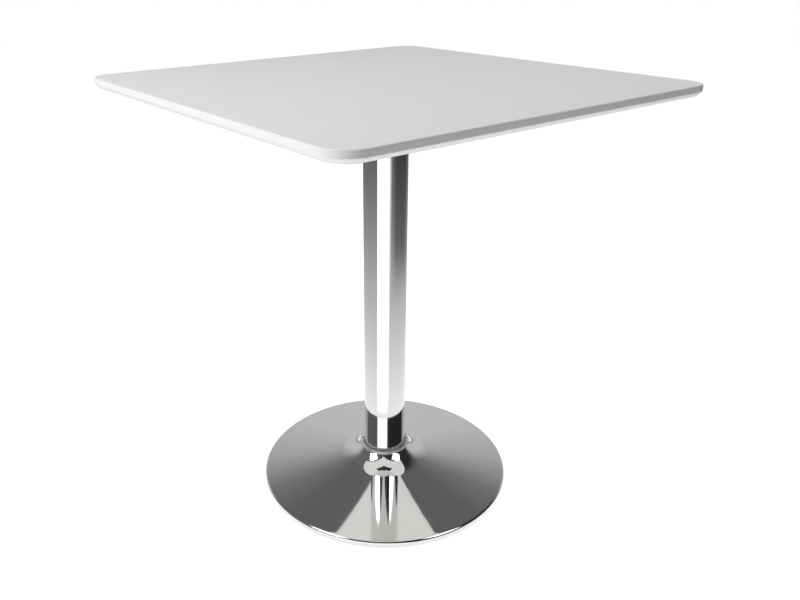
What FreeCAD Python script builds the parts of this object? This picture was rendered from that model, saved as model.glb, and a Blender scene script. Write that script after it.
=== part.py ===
import FreeCAD, Part
import math
import os
import Sketcher

# Bistro table: square foil-wrapped top on a steel tube column, standing in a cast-iron weight
# under a spun trumpet-shaped cover. Millimetres, +Z up, origin on the floor under the column's axis.
# The top's sides and the support plate's are parallel to X and Y.

SIZES = {
    # whole table
    "table_height": 750.0,
    "top_side": 710.0,
    "top_corner_r": 40.0,
    # top board and its skins
    "board_t": 16.0,
    "foil_t": 0.4,
    "backing_t": 0.3,
    "edge_round": 2.0,
    "edge_bevel": 6.5,
    # threaded inserts, screws and washers that hold the top
    "insert_r": 5.0,
    "insert_len": 12.0,
    "insert_end_gap": 0.5,
    "screw_r": 2.95,
    "screw_len": 16.0,
    "screw_head_r": 6.0,
    "screw_head_t": 3.6,
    "socket_flats": 4.0,
    "socket_deep": 2.0,
    "thread_gap": 0.05,
    "screw_washer_r": 6.5,
    "screw_washer_t": 1.6,
    "screw_hole_gap": 0.45,
    # support under the top
    "plate_side": 200.0,
    "plate_corner_r": 8.0,
    "plate_t": 5.0,
    "plate_window_r": 24.0,
    "side_screw_at": 84.0,
    "corner_screw_at": 120.0,
    "rib_t": 4.0,
    "rib_deep": 14.0,
    "rib_end_deep": 3.0,
    "rib_len": 62.0,
    "rib_tube_gap": 4.0,
    # column
    "tube_r": 38.0,
    "tube_wall": 1.5,
    "tube_end_gap": 0.2,
    "plug_len": 30.0,
    "plug_wall": 3.0,
    "plug_floor": 6.0,
    # tie rod, nuts and washers
    "rod_r": 6.0,
    "rod_chamfer": 1.0,
    "rod_end_above": 5.0,
    "rod_end_below": 2.0,
    "rod_hole_gap": 0.5,
    "nut_flats": 18.0,
    "nut_t": 10.0,
    "nut_chamfer": 0.8,
    "washer_r": 12.0,
    "washer_t": 2.5,
    # spun cover
    "base_r": 232.5,
    "cover_t": 1.2,
    "rim_round": 4.5,
    "rim_centre_z": 13.5,
    "dish_r": 4000.0,
    "flare_r": 72.0,
    "flare_slope": 48.0,
    "neck_round": 4.0,
    "neck_gap": 3.5,
    "neck_top": 66.0,
    # floor ring under the cover's edge
    "ring_t": 7.0,
    "ring_inset": 0.6,
    "ring_w": 25.9,
    "ring_tread_w": 12.0,
    "ring_ledge_lift": 2.5,
    "ring_lip_t": 2.2,
    "ring_lip_high": 4.5,
    "ring_round": 1.2,
    "fit_gap": 0.2,
    # neck ring round the column's foot
    "collar_w": 9.0,
    "collar_t": 1.2,
    "collar_round": 0.8,
    "collar_sleeve": 7.0,
    "collar_gap": 0.15,
    # cast weight
    "weight_gap": 18.5,
    "weight_t": 10.0,
    "boss_r": 56.0,
    "boss_top": 31.0,
    "boss_foot_r": 74.0,
    "spigot_high": 10.0,
    "spigot_wall": 8.0,
    "recess_r": 20.0,
    "recess_deep": 13.5,
}

SIDES = 4
FIRST_RIB_ANGLE = 45.0
BEVEL_SLOPE = 1 / math.sqrt(3)  # a nut's corners are turned off at 30 degrees
PAST_CORNERS = 0.6  # of a hexagon's size across flats: a radius just past its corners

doc = FreeCAD.newDocument("bistro_table")
sheet = doc.addObject("Spreadsheet::Sheet", "dims")
for row, (alias, number) in enumerate(SIZES.items(), start=1):
    sheet.set("A%d" % row, str(number))
    sheet.setAlias("A%d" % row, alias)
doc.recompute()

# Heights and radii that several pieces share, as expressions of the sheet's cells.
UNDERSIDE = "(dims.table_height - dims.foil_t - dims.board_t - dims.backing_t)"
BOARD_BOTTOM = "(dims.table_height - dims.foil_t - dims.board_t)"
PLATE_BOTTOM = "(%s - dims.plate_t)" % UNDERSIDE
TUBE_BORE = "(dims.tube_r - dims.tube_wall)"
FITTED_R = "(%s - dims.tube_end_gap)" % TUBE_BORE
PLUG_BOTTOM = "(%s - dims.plug_len)" % PLATE_BOTTOM
PLUG_FLOOR_TOP = "(%s + dims.plug_floor)" % PLUG_BOTTOM
RECESS_TOP = "(dims.ring_t + dims.recess_deep)"
LOWER_NUT_TOP = "(%s - dims.washer_t)" % RECESS_TOP
UPPER_NUT_BOTTOM = "(%s + dims.washer_t)" % PLUG_FLOOR_TOP
ROD_BOTTOM = "(%s - dims.nut_t - dims.rod_end_below)" % LOWER_NUT_TOP
ROD_TOP = "(%s + dims.nut_t + dims.rod_end_above)" % UPPER_NUT_BOTTOM
COVER_BORE = "(dims.base_r - dims.cover_t)"
NECK_R = "(dims.tube_r + dims.neck_gap)"
NECK_CENTRE_R = "(%s + dims.neck_round)" % NECK_R
COLLAR_R = "(dims.tube_r + dims.collar_w)"
RING_OUTER = "(dims.base_r - dims.ring_inset)"
RING_INNER = "(%s - dims.ring_w)" % RING_OUTER
WEIGHT_R = "(dims.base_r - dims.weight_gap)"


def value(expression):
    """The number that an expression of the sheet's cells gives now."""
    return float(sheet.evalExpression(str(expression)))


def new_body(label):
    """An empty PartDesign body that will be one sub-part."""
    body = doc.addObject("PartDesign::Body", label)
    body.Label = label
    return body


def origin_part(body, role):
    """The plane or axis of the body's own origin that has this role."""
    return [part for part in body.Origin.OriginFeatures if part.Role == role][0]


def new_sketch(body, name, plane):
    """A sketch on one of the body's own origin planes."""
    sketch = body.newObject("Sketcher::SketchObject", name)
    sketch.AttachmentSupport = [(origin_part(body, plane), "")]
    sketch.MapMode = "FlatFace"
    return sketch


def bind(sketch, kind, *refs, to):
    """Add one dimension to a sketch and bind it to an expression."""
    index = sketch.addConstraint(Sketcher.Constraint(kind, *refs, value(to)))
    sketch.setExpression("Constraints[%d]" % index, to)


def place_point(sketch, geo, point, across, up):
    """Fix one point of a sketch at two expressions, or on an axis where one is zero."""
    if across == "0":
        sketch.addConstraint(Sketcher.Constraint("PointOnObject", geo, point, -2))
    else:
        bind(sketch, "DistanceX", -1, 1, geo, point, to=across)
    if up == "0":
        sketch.addConstraint(Sketcher.Constraint("PointOnObject", geo, point, -1))
    else:
        bind(sketch, "DistanceY", -1, 1, geo, point, to=up)


def outline(body, name, plane, corners):
    """A closed straight-sided outline whose corners are pairs of expressions."""
    sketch = new_sketch(body, name, plane)
    spots = [FreeCAD.Vector(value(across), value(up), 0) for across, up in corners]
    for start, end in zip(spots, spots[1:] + spots[:1]):
        sketch.addGeometry(Part.LineSegment(start, end), False)
    count = len(corners)
    for index in range(count):
        sketch.addConstraint(Sketcher.Constraint("Coincident", index, 2, (index + 1) % count, 1))
    for index, (across, up) in enumerate(corners):
        place_point(sketch, index, 1, across, up)
    return sketch


def circles(body, name, spots):
    """Circles on the ground plane, each from expressions (across, up, radius)."""
    sketch = new_sketch(body, name, "XY_Plane")
    for index, (across, up, radius) in enumerate(spots):
        centre = FreeCAD.Vector(value(across), value(up), 0)
        sketch.addGeometry(Part.Circle(centre, FreeCAD.Vector(0, 0, 1), value(radius)), False)
        place_point(sketch, index, 3, across, up)
        bind(sketch, "Radius", index, to=radius)
    return sketch


def lift(sketch, height):
    """Raise a sketch off its plane to a height given by an expression."""
    sketch.setExpression("AttachmentOffset.Base.z", height)


def pad(body, name, sketch, length):
    """Pad a ground-plane sketch upwards."""
    feature = body.newObject("PartDesign::Pad", name)
    feature.Profile = sketch
    feature.setExpression("Length", length)
    return feature


def pocket_up(body, name, sketch, length):
    """Cut a ground-plane sketch upwards into the body, and make sure that it cuts."""
    doc.recompute()
    before = body.Shape.Volume
    feature = body.newObject("PartDesign::Pocket", name)
    feature.Profile = sketch
    feature.Reversed = True
    feature.setExpression("Length", length)
    doc.recompute()
    if body.Shape.Volume >= before:
        raise RuntimeError(name + " cuts nothing")
    return feature


def spin(body, name, sketch):
    """Turn an outline on the XZ plane once round the Z axis."""
    feature = body.newObject("PartDesign::Revolution", name)
    feature.Profile = sketch
    feature.ReferenceAxis = (sketch, ["V_Axis"])
    feature.Angle = 360.0
    return feature


def turned(label, corners):
    """A sub-part turned on a lathe: an outline of (radius, height) pairs, spun round the Z axis."""
    body = new_body(label)
    spin(body, label + "_turning", outline(body, label + "_outline", "XZ_Plane", corners))
    doc.recompute()
    return body


def edges_where(feature, test):
    """Names of the feature's edges that pass a test."""
    return ["Edge%d" % (i + 1) for i, edge in enumerate(feature.Shape.Edges) if test(edge)]


def at_height(height):
    """A test for edges that lie level at a height."""
    def test(edge):
        box = edge.BoundBox
        return abs(box.ZMin - height) < 0.01 and abs(box.ZMax - height) < 0.01
    return test


def dress(body, kind, name, base, edges, size):
    """Fillet or chamfer the named edges of a feature."""
    feature = body.newObject("PartDesign::" + kind, name)
    feature.Base = (base, edges)
    feature.setExpression("Radius" if kind == "Fillet" else "Size", size)
    doc.recompute()
    return feature


def around(body, name, features):
    """Repeat features once for each side of the support plate, round the Z axis."""
    pattern = body.newObject("PartDesign::PolarPattern", name)
    pattern.Originals = features
    pattern.Axis = (origin_part(body, "Z_Axis"), [""])
    pattern.Angle = 360.0
    pattern.Occurrences = SIDES
    body.Tip = pattern
    doc.recompute()
    return pattern


def screw_spots(radius):
    """The screw places of the plate's first side and corner, as circles of the given radius."""
    corner = "dims.corner_screw_at * %.9f" % math.sqrt(0.5)
    return [("dims.side_screw_at", "0", radius), (corner, corner, radius)]


def rounded_slab(body, name, side, corner, thickness, bottom):
    """A square plate with rounded corners, centred on the Z axis, sizes as expressions."""
    slab = body.newObject("PartDesign::AdditiveBox", name)
    slab.setExpression("Length", side)
    slab.setExpression("Width", side)
    slab.setExpression("Height", thickness)
    slab.setExpression("Placement.Base.x", "-(%s) / 2" % side)
    slab.setExpression("Placement.Base.y", "-(%s) / 2" % side)
    slab.setExpression("Placement.Base.z", bottom)
    doc.recompute()
    upright = edges_where(slab, lambda edge: edge.BoundBox.ZLength > 0.9 * value(thickness))
    return dress(body, "Fillet", name + "_corners", slab, upright, corner)


def edged_slab(label, inset):
    """The top's outer form, or the same form set in by an even skin thickness on all but the bottom."""
    body = new_body(label)
    side = "dims.top_side - 2 * (%s)" % inset
    corner = "dims.top_corner_r - (%s)" % inset
    height = "dims.table_height - (%s) - %s" % (inset, BOARD_BOTTOM)
    slab = rounded_slab(body, label + "_blank", side, corner, height, BOARD_BOTTOM)
    top = edges_where(slab, at_height(value("dims.table_height - (%s)" % inset)))
    slab = dress(body, "Fillet", label + "_top_edge", slab, top, "dims.edge_round - (%s)" % inset)
    bottom = edges_where(slab, at_height(value(BOARD_BOTTOM)))
    bevel = "dims.edge_bevel + (%s) * (sqrt(2) - 1)" % inset
    dress(body, "Chamfer", label + "_bevel", slab, bottom, bevel)
    return body


def insert_holes(body, bottom, depth):
    """Blind or through holes for the threaded inserts, cut upwards from a height."""
    sketch = circles(body, body.Label + "_hole_places", screw_spots("dims.insert_r"))
    lift(sketch, bottom)
    first = pocket_up(body, body.Label + "_holes", sketch, depth)
    around(body, body.Label + "_all_holes", [first])


def top_board():
    """Fibreboard core of the top, with a bevelled lower edge and holes for the inserts."""
    body = edged_slab("top_board", "dims.foil_t")
    insert_holes(body, BOARD_BOTTOM, "dims.insert_len + dims.insert_end_gap - dims.backing_t")
    return body


def top_foil():
    """White foil drawn over the board's face, edges and bevel: the outer form less the core's form."""
    outer = edged_slab("foil_outside", "0")
    inner = edged_slab("foil_inside", "dims.foil_t")
    foil = doc.addObject("Part::Cut", "top_foil")
    foil.Base = outer
    foil.Tool = inner
    foil.Label = "top_foil"
    doc.recompute()
    return foil


def underside_backing():
    """Thin white balancing film under the board, with the inserts' holes."""
    body = new_body("underside_backing")
    inset = "(dims.edge_bevel)"
    side = "dims.top_side - 2 * %s" % inset
    corner = "dims.top_corner_r - %s" % inset
    rounded_slab(body, "backing_sheet", side, corner, "dims.backing_t", UNDERSIDE)
    insert_holes(body, UNDERSIDE, "dims.backing_t")
    return body


def tubes_around(label, bottom, length, outer, inner):
    """Short tubes standing at every screw place, one solid each."""
    body = new_body(label)
    sketch = circles(body, label + "_places", screw_spots(outer) + screw_spots(inner))
    lift(sketch, bottom)
    first = pad(body, label + "_first_side", sketch, length)
    doc.recompute()
    around(body, label + "_all_sides", [first])
    return body


def threaded_inserts():
    """Brass inserts pressed into the board, open at the underside."""
    bore = "dims.screw_r + dims.thread_gap"
    return tubes_around("threaded_inserts", UNDERSIDE, "dims.insert_len", "dims.insert_r", bore)


def screw_washers():
    """Plain washers between the screw heads and the support plate."""
    bottom = "%s - dims.screw_washer_t" % PLATE_BOTTOM
    bore = "dims.screw_r + dims.screw_hole_gap"
    return tubes_around("screw_washers", bottom, "dims.screw_washer_t", "dims.screw_washer_r", bore)


def hexagon(body, name, across, up, flats):
    """A hexagon on the ground plane, its size across flats and centre as expressions."""
    sketch = new_sketch(body, name, "XY_Plane")
    centre = FreeCAD.Vector(value(across), value(up), 0)
    corner_r = value(flats) / math.sqrt(3)
    spots = []
    for step in range(6):
        angle = math.radians(60 * step)
        spots.append(centre + FreeCAD.Vector(corner_r * math.cos(angle), corner_r * math.sin(angle), 0))
    for start, end in zip(spots, spots[1:] + spots[:1]):
        sketch.addGeometry(Part.LineSegment(start, end), False)
    guide = sketch.addGeometry(Part.Circle(centre, FreeCAD.Vector(0, 0, 1), corner_r), True)
    for side in range(6):
        sketch.addConstraint(Sketcher.Constraint("Coincident", side, 2, (side + 1) % 6, 1))
        sketch.addConstraint(Sketcher.Constraint("PointOnObject", side, 1, guide))
    for side in range(1, 6):
        sketch.addConstraint(Sketcher.Constraint("Equal", 0, side))
    sketch.addConstraint(Sketcher.Constraint("Horizontal", 1))
    place_point(sketch, guide, 3, across, up)
    bind(sketch, "Radius", guide, to="(%s) / sqrt(3)" % flats)
    return sketch


def top_screws():
    """Socket screws, heads down, that hold the support plate to the top."""
    body = new_body("top_screws")
    head_top = "(%s - dims.screw_washer_t)" % PLATE_BOTTOM
    features = []
    for place, (across, up, head_r) in enumerate(screw_spots("dims.screw_head_r")):
        mark = "_side" if place == 0 else "_corner"
        head_circle = circles(body, "head_circle" + mark, [(across, up, head_r)])
        lift(head_circle, "%s - dims.screw_head_t" % head_top)
        head = pad(body, "head" + mark, head_circle, "dims.screw_head_t")
        shank_circle = circles(body, "shank_circle" + mark, [(across, up, "dims.screw_r")])
        lift(shank_circle, head_top)
        shank = pad(body, "shank" + mark, shank_circle, "dims.screw_len")
        socket = hexagon(body, "socket_hexagon" + mark, across, up, "dims.socket_flats")
        lift(socket, "%s - dims.screw_head_t" % head_top)
        features += [head, shank, pocket_up(body, "socket" + mark, socket, "dims.socket_deep")]
    around(body, "screws_all_sides", features)
    return body


def support_plate():
    """Square steel plate under the top, open in the middle to reach the rod's nut."""
    body = new_body("support_plate")
    rounded_slab(body, "plate_blank", "dims.plate_side", "dims.plate_corner_r", "dims.plate_t", PLATE_BOTTOM)
    window = circles(body, "plate_window_circle", [("0", "0", "dims.plate_window_r")])
    lift(window, PLATE_BOTTOM)
    pocket_up(body, "plate_window", window, "dims.plate_t")
    holes = circles(body, "plate_hole_places", screw_spots("dims.screw_r + dims.screw_hole_gap"))
    lift(holes, PLATE_BOTTOM)
    first = pocket_up(body, "plate_holes", holes, "dims.plate_t")
    around(body, "plate_all_holes", [first])
    return body


def column_plug():
    """Cup welded under the support plate that centres the column tube and carries the rod's upper nut."""
    bore = "(%s - dims.plug_wall)" % FITTED_R
    rod_hole = "(dims.rod_r + dims.rod_hole_gap)"
    return turned("column_plug", [
        (rod_hole, PLUG_BOTTOM), (FITTED_R, PLUG_BOTTOM), (FITTED_R, PLATE_BOTTOM),
        (bore, PLATE_BOTTOM), (bore, PLUG_FLOOR_TOP), (rod_hole, PLUG_FLOOR_TOP)])


def plate_rib(number):
    """One tapered rib that stiffens the support plate from beside the column towards a corner."""
    label = "plate_rib_%d" % number
    body = new_body(label)
    foot = "(dims.tube_r + dims.rib_tube_gap)"
    end = "(%s + dims.rib_len)" % foot
    rib = outline(body, label + "_outline", "XZ_Plane", [
        (foot, PLATE_BOTTOM), (foot, "%s - dims.rib_deep" % PLATE_BOTTOM),
        (end, "%s - dims.rib_end_deep" % PLATE_BOTTOM), (end, PLATE_BOTTOM)])
    plate = pad(body, label + "_thickness", rib, "dims.rib_t")
    plate.SideType = "Symmetric"
    turn = FIRST_RIB_ANGLE + (number - 1) * 360.0 / SIDES
    body.Placement = FreeCAD.Placement(
        FreeCAD.Vector(0, 0, 0), FreeCAD.Rotation(FreeCAD.Vector(0, 0, 1), turn))
    return body


def column_tube():
    """Chromed steel tube from the weight's boss to the support plate."""
    return turned("column_tube", [
        (TUBE_BORE, "dims.boss_top"), ("dims.tube_r", "dims.boss_top"),
        ("dims.tube_r", PLATE_BOTTOM), (TUBE_BORE, PLATE_BOTTOM)])


def tie_rod():
    """Threaded rod down the middle that pulls the support, tube and weight together."""
    return turned("tie_rod", [
        ("0", ROD_BOTTOM), ("dims.rod_r - dims.rod_chamfer", ROD_BOTTOM),
        ("dims.rod_r", "%s + dims.rod_chamfer" % ROD_BOTTOM),
        ("dims.rod_r", "%s - dims.rod_chamfer" % ROD_TOP),
        ("dims.rod_r - dims.rod_chamfer", ROD_TOP), ("0", ROD_TOP)])


def rod_nut(label, bottom):
    """Hexagon nut on the tie rod, corners turned off at both faces."""
    body = new_body(label)
    blank = hexagon(body, label + "_hexagon", "0", "0", "dims.nut_flats")
    lift(blank, bottom)
    pad(body, label + "_blank", blank, "dims.nut_t")
    bore = circles(body, label + "_bore_circle", [("0", "0", "dims.rod_r + dims.thread_gap")])
    lift(bore, bottom)
    pocket_up(body, label + "_bore", bore, "dims.nut_t")
    top = "%s + dims.nut_t" % bottom
    flat_r = "(dims.nut_flats / 2)"
    far_r = "(dims.nut_flats * %.9f)" % PAST_CORNERS
    cut = "dims.nut_chamfer + (%s - %s) * %.9f" % (far_r, flat_r, BEVEL_SLOPE)
    for mark, edge, inward in (("_lower", bottom, "+"), ("_upper", top, "-")):
        corner = outline(body, label + mark + "_corner", "XZ_Plane", [
            (flat_r, edge), (far_r, edge), (far_r, "%s %s (%s)" % (edge, inward, cut))])
        groove = body.newObject("PartDesign::Groove", label + mark + "_bevel")
        groove.Profile = corner
        groove.ReferenceAxis = (corner, ["V_Axis"])
        groove.Angle = 360.0
        doc.recompute()
    return body


def rod_washer(label, bottom):
    """Plain washer on the tie rod."""
    hole = "dims.rod_r + dims.rod_hole_gap"
    top = "%s + dims.washer_t" % bottom
    return turned(label, [
        (hole, bottom), ("dims.washer_r", bottom), ("dims.washer_r", top), (hole, top)])


def weight():
    """Cast-iron weight: a flat disc with a coned boss, a spigot for the tube and a recess for the nut."""
    bottom = "dims.ring_t"
    plate_top = "(dims.ring_t + dims.weight_t)"
    spigot_top = "(dims.boss_top + dims.spigot_high)"
    spigot_bore = "(%s - dims.spigot_wall)" % FITTED_R
    rod_hole = "(dims.rod_r + dims.rod_hole_gap)"
    return turned("weight", [
        ("dims.recess_r", bottom), (WEIGHT_R, bottom), (WEIGHT_R, plate_top),
        ("dims.boss_foot_r", plate_top), ("dims.boss_r", "dims.boss_top"),
        (FITTED_R, "dims.boss_top"), (FITTED_R, spigot_top), (spigot_bore, spigot_top),
        (spigot_bore, "dims.boss_top"), (rod_hole, "dims.boss_top"),
        (rod_hole, RECESS_TOP), ("dims.recess_r", RECESS_TOP)])


def cover_side(sketch, grow, first):
    """One side of the cover's wall: straight edge, rim arc, long dish arc, flare arc and neck arc.

    The outer side has grow 0. The inner side is the same chain set in by grow, so its rim arc is
    smaller and its other arcs are larger by as much, all on the same centres. The flare meets the
    neck arc where the wall's slope is flare_slope degrees.
    Returns the geometry numbers of the straight edge and of the neck arc.
    """
    grown = value(grow)
    slope = math.radians(value("dims.flare_slope"))
    outwards = FreeCAD.Vector(math.sin(slope), math.cos(slope), 0)
    rim_c = FreeCAD.Vector(value("dims.base_r - dims.rim_round"), value("dims.rim_centre_z"), 0)
    neck_c = FreeCAD.Vector(value(NECK_CENTRE_R), value("dims.neck_top"), 0)
    flare_c = neck_c + outwards * value("dims.flare_r - dims.neck_round")
    rim_r = value("dims.rim_round") - grown
    neck_r = value("dims.neck_round") + grown
    flare_r = value("dims.flare_r") + grown
    dish_r = value("dims.dish_r") + grown
    along = flare_c - rim_c
    gap = along.Length
    to_foot = ((dish_r + rim_r) ** 2 - (dish_r - flare_r) ** 2 + gap ** 2) / (2 * gap)
    rise = math.sqrt((dish_r + rim_r) ** 2 - to_foot ** 2)
    across = FreeCAD.Vector(along.y, -along.x, 0) / gap
    if across.y < 0:
        across = -across
    dish_c = rim_c + along * (to_foot / gap) + across * rise
    steep = math.atan2(dish_c.y - rim_c.y, dish_c.x - rim_c.x)
    flare_end = math.atan2(flare_c.y - dish_c.y, flare_c.x - dish_c.x) + 2 * math.pi
    neck_end = 1.5 * math.pi - slope
    up = FreeCAD.Vector(0, 0, 1)
    edge_x = rim_c.x + rim_r
    foot = FreeCAD.Vector(edge_x, value("dims.ring_t"), 0)
    bend = FreeCAD.Vector(edge_x, rim_c.y, 0)
    sketch.addGeometry(Part.LineSegment(foot, bend), False)
    sketch.addGeometry(Part.ArcOfCircle(Part.Circle(rim_c, up, rim_r), 0, steep), False)
    sketch.addGeometry(Part.ArcOfCircle(Part.Circle(dish_c, up, dish_r), flare_end, steep + math.pi), False)
    sketch.addGeometry(Part.ArcOfCircle(Part.Circle(flare_c, up, flare_r), neck_end, flare_end), False)
    sketch.addGeometry(Part.ArcOfCircle(Part.Circle(neck_c, up, neck_r), math.pi, neck_end), False)
    edge, rim, dish, flare, neck = range(first, first + 5)
    for join in ((edge, 2, rim, 1), (rim, 2, dish, 2), (dish, 1, flare, 2), (flare, 1, neck, 2)):
        sketch.addConstraint(Sketcher.Constraint("Tangent", *join))
    place_point(sketch, rim, 3, "dims.base_r - dims.rim_round", "dims.rim_centre_z")
    place_point(sketch, neck, 3, NECK_CENTRE_R, "dims.neck_top")
    bind(sketch, "Radius", rim, to="dims.rim_round - (%s)" % grow)
    bind(sketch, "Radius", dish, to="dims.dish_r + (%s)" % grow)
    bind(sketch, "Radius", flare, to="dims.flare_r + (%s)" % grow)
    bind(sketch, "Radius", neck, to="dims.neck_round + (%s)" % grow)
    bind(sketch, "DistanceX", -1, 1, neck, 2, to=(
        "%s - (dims.neck_round + %s) * sin(dims.flare_slope)" % (NECK_CENTRE_R, grow)))
    sketch.addConstraint(Sketcher.Constraint("Vertical", edge))
    bind(sketch, "DistanceY", -1, 1, edge, 1, to="dims.ring_t")
    return edge, neck


def base_cover():
    """Spun and chromed sheet cover, shallow at the rim and sweeping up to a narrow neck."""
    body = new_body("base_cover")
    sketch = new_sketch(body, "cover_wall", "XZ_Plane")
    outer_edge, outer_neck = cover_side(sketch, "0", 0)
    inner_edge, inner_neck = cover_side(sketch, "dims.cover_t", 5)
    points = [sketch.getPoint(outer_edge, 1), sketch.getPoint(inner_edge, 1)]
    hem = sketch.addGeometry(Part.LineSegment(points[0], points[1]), False)
    points = [sketch.getPoint(outer_neck, 1), sketch.getPoint(inner_neck, 1)]
    lip = sketch.addGeometry(Part.LineSegment(points[0], points[1]), False)
    sketch.addConstraint(Sketcher.Constraint("Coincident", hem, 1, outer_edge, 1))
    sketch.addConstraint(Sketcher.Constraint("Coincident", hem, 2, inner_edge, 1))
    sketch.addConstraint(Sketcher.Constraint("Coincident", lip, 1, outer_neck, 1))
    sketch.addConstraint(Sketcher.Constraint("Coincident", lip, 2, inner_neck, 1))
    bind(sketch, "DistanceY", -1, 1, outer_neck, 1, to="dims.neck_top")
    bind(sketch, "DistanceY", -1, 1, inner_neck, 1, to="dims.neck_top")
    doc.recompute()
    spin(body, "cover_spinning", sketch)
    doc.recompute()
    return body


def neck_ring():
    """Clear plastic ring that fills the gap between the cover's neck and the tube."""
    bore = "(dims.tube_r + dims.collar_gap)"
    sleeve_r = "(%s - dims.cover_t - dims.collar_gap)" % NECK_R
    sleeve_end = "(dims.neck_top - dims.collar_sleeve)"
    flange_top = "(dims.neck_top + dims.collar_t)"
    body = turned("neck_ring", [
        (bore, sleeve_end), (sleeve_r, sleeve_end), (sleeve_r, "dims.neck_top"),
        (COLLAR_R, "dims.neck_top"), (COLLAR_R, flange_top), (bore, flange_top)])
    turning = body.Tip
    rim = value(COLLAR_R)
    edge = edges_where(turning, lambda e: at_height(value(flange_top))(e) and e.BoundBox.XMax > rim - 0.1)
    dress(body, "Fillet", "neck_ring_round", turning, edge, "dims.collar_round")
    return body


def floor_ring():
    """Plastic ring that the table stands on.

    Its tread meets the floor, its lip centres the cover's edge and its ledge carries the weight.
    """
    tread_inner = "(%s - dims.ring_tread_w)" % RING_OUTER
    lip_outer = "(%s - dims.fit_gap)" % COVER_BORE
    lip_inner = "(%s - dims.ring_lip_t)" % lip_outer
    lip_top = "(dims.ring_t + dims.ring_lip_high)"
    body = turned("floor_ring", [
        (tread_inner, "0"), (RING_OUTER, "0"), (RING_OUTER, "dims.ring_t"), (lip_outer, "dims.ring_t"),
        (lip_outer, lip_top), (lip_inner, lip_top), (lip_inner, "dims.ring_t"),
        (RING_INNER, "dims.ring_t"), (RING_INNER, "dims.ring_ledge_lift"),
        (tread_inner, "dims.ring_ledge_lift")])
    turning = body.Tip
    edge_r = value(RING_OUTER)
    foot = edges_where(turning, lambda e: at_height(0.0)(e) and e.BoundBox.XMax > edge_r - 0.1)
    dress(body, "Fillet", "floor_ring_round", turning, foot, "dims.ring_round")
    return body


def write_parts(parts):
    """Check the whole document, then write each sub-part to its own STEP file."""
    doc.recompute()
    for item in doc.Objects:
        if "Invalid" in item.State or "Error" in item.State:
            raise RuntimeError("%s did not compute" % item.Label)
    for part in parts:
        if part.Shape.isNull() or not part.Shape.isValid():
            raise RuntimeError("%s has no valid shape" % part.Label)
    os.makedirs("parts", exist_ok=True)
    for part in parts:
        part.Shape.exportStep("parts/%s.step" % part.Label)
        print(part.Label, len(part.Shape.Solids), "solids,", round(part.Shape.Volume / 1000, 2), "cm3")


parts = [
    floor_ring(),
    weight(),
    base_cover(),
    neck_ring(),
    column_tube(),
    tie_rod(),
    rod_washer("lower_washer", LOWER_NUT_TOP),
    rod_nut("lower_nut", "(%s - dims.nut_t)" % LOWER_NUT_TOP),
    column_plug(),
    rod_washer("upper_washer", PLUG_FLOOR_TOP),
    rod_nut("upper_nut", UPPER_NUT_BOTTOM),
    support_plate(),
]
for rib_number in range(1, SIDES + 1):
    parts.append(plate_rib(rib_number))
parts += [
    screw_washers(),
    top_screws(),
    threaded_inserts(),
    underside_backing(),
    top_board(),
    top_foil(),
]
write_parts(parts)
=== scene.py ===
import math

import bmesh
import bpy
import numpy as np
from mathutils import Matrix, Vector


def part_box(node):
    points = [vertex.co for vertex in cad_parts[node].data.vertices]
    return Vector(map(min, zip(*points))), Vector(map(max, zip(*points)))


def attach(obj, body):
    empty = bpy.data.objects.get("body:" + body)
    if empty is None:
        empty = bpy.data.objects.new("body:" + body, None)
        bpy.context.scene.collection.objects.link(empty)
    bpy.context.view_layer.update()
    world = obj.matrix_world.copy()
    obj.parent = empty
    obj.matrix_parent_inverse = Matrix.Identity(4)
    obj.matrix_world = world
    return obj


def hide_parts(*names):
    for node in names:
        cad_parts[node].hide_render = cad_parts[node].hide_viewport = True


# Bistro table: square foil-wrapped top on a chromed column and a trumpet-shaped chromed base.
# Metres, +Z up, origin on the floor under the column. MM turns millimetres into metres.

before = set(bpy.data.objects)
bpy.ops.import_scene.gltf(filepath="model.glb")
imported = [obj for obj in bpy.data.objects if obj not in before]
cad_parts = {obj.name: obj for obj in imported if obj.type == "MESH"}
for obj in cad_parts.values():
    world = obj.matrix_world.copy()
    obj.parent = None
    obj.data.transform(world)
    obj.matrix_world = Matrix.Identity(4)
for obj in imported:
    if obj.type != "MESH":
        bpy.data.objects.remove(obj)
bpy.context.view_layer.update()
MM = 0.001
TURN = 2 * math.pi


# ---------------------------------------------------------------- geometry helpers

def make_object(name, points, faces):
    """A closed smooth mesh object at the origin, doubled points merged and faces turned outwards."""
    mesh = bpy.data.meshes.new(name)
    mesh.from_pydata(points.tolist(), [], faces)
    work = bmesh.new()
    work.from_mesh(mesh)
    bmesh.ops.remove_doubles(work, verts=work.verts, dist=0.0001 * MM)
    bmesh.ops.recalc_face_normals(work, faces=work.faces)
    work.to_mesh(mesh)
    work.free()
    mesh.shade_smooth()
    piece = bpy.data.objects.new(name, mesh)
    bpy.context.scene.collection.objects.link(piece)
    return piece


def grid_faces(rows, cols, wrap_rows, wrap_cols):
    """Quads of a rows by cols grid of points, joined end to end in the directions that wrap."""
    i = np.arange(rows if wrap_rows else rows - 1)[:, None]
    j = np.arange(cols if wrap_cols else cols - 1)[None, :]
    low, high = i * cols, (i + 1) % rows * cols
    right = (j + 1) % cols
    quads = np.stack([low + j, high + j, high + right, low + right], axis=-1)
    return quads.reshape(-1, 4)


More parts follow.
